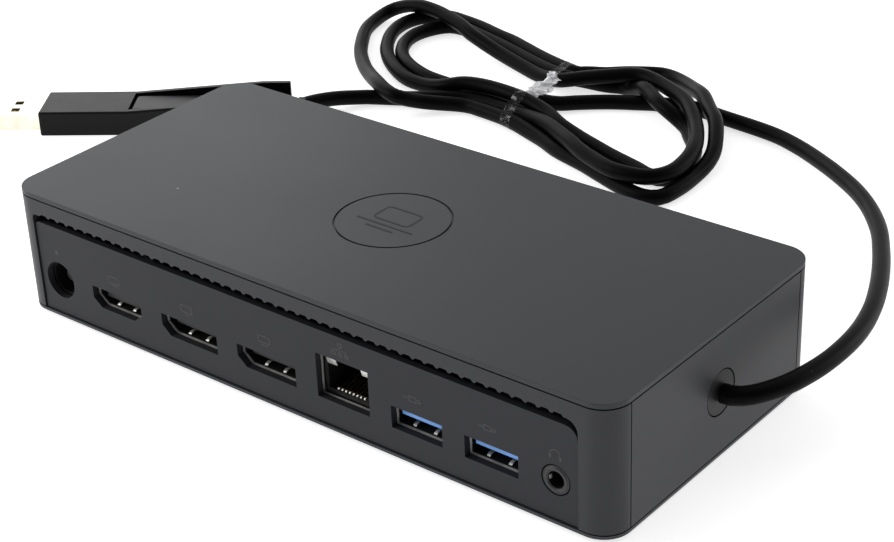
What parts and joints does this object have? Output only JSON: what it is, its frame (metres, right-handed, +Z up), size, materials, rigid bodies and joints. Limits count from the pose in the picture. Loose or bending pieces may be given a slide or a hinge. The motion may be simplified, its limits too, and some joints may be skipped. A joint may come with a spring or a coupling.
{
  "type": "laptop docking station",
  "caption": "Flat rectangular laptop dock with a row of ports on each long side, a captive cord tied in a hank, and a plug adapter that pulls off.",
  "frame": {"origin": "on the table, under the middle of the box, measured without the cord, its hank, plug and adapter", "axes": "+X along the length towards the end that the cord leaves, +Y towards the user's row of ports, -Y towards the main row of ports, +Z up"},
  "size_m": [0.2706, 0.1983, 0.0313],
  "materials": {
    "charcoal_plastic": "matte charcoal plastic with a fine texture",
    "socket_black": "black moulded socket plastic",
    "usb_blue": "blue moulded plastic",
    "shield_metal": "plated sheet steel",
    "aluminium": "plain aluminium",
    "screw_steel": "dark plated steel",
    "circuit_board": "green solder mask on glass laminate",
    "chip_black": "black moulded epoxy and ferrite",
    "rubber": "soft black rubber",
    "cord_black": "satin black cord jacket",
    "adapter_black": "satin black moulded plastic",
    "plug_metal": "bright warm plated metal",
    "tie_clear": "clear plastic strip, crumpled",
    "led_lens": "frosted light pipe"
  },
  "bodies": {
    "dock": {"top_cover": "charcoal_plastic", "port_side_frame": "charcoal_plastic", "front_side_frame": "charcoal_plastic", "base_cover": "charcoal_plastic", "port_panel": "charcoal_plastic", "front_panel": "charcoal_plastic", "end_panel_cord": "charcoal_plastic", "end_panel_lock": "charcoal_plastic", "hdmi_tongue": "socket_black", "displayport_a_tongue": "socket_black", "displayport_b_tongue": "socket_black", "usb_c_front_tongue": "socket_black", "lan_socket_insert": "socket_black", "power_jack_body": "socket_black", "line_out_jack": "socket_black", "headset_jack": "socket_black", "cord_header": "socket_black", "usb_rear_a_tongue": "usb_blue", "usb_rear_b_tongue": "usb_blue", "usb_front_a_tongue": "usb_blue", "usb_front_b_tongue": "usb_blue", "hdmi_shell": "shield_metal", "displayport_a_shell": "shield_metal", "displayport_b_shell": "shield_metal", "usb_rear_a_shell": "shield_metal", "usb_rear_b_shell": "shield_metal", "usb_front_a_shell": "shield_metal", "usb_front_b_shell": "shield_metal", "usb_c_front_shell": "shield_metal", "lan_socket_can": "shield_metal", "power_jack_pin": "shield_metal", "usb_c_plug_shell": "shield_metal", "heat_spreader": "aluminium", "capacitor": "aluminium", "case_screw_1": "screw_steel", "case_screw_2": "screw_steel", "case_screw_3": "screw_steel", "case_screw_4": "screw_steel", "lock_slot_plate": "screw_steel", "main_board": "circuit_board", "display_chip": "chip_black", "hub_chip": "chip_black", "network_chip": "chip_black", "power_coil_1": "chip_black", "power_coil_2": "chip_black", "foot_1": "rubber", "foot_2": "rubber", "foot_3": "rubber", "foot_4": "rubber", "cord_bush": "rubber", "cord_free_run": "cord_black", "cord_hank": "cord_black", "cord_end_run": "cord_black", "cord_inner_lead": "cord_black", "usb_c_plug_body": "adapter_black", "cord_tie": "tie_clear", "power_light_pipe": "led_lens"},
    "adapter": {"adapter_body": "adapter_black", "adapter_a_shell": "plug_metal", "adapter_a_tongue": "socket_black"}
  },
  "joints": [
    {"name": "adapter_pull", "type": "slide", "parent": "dock", "child": "adapter", "axis": [-0.8192, -0.5736, 0], "range_m": [0, 0.05]}
  ]
}
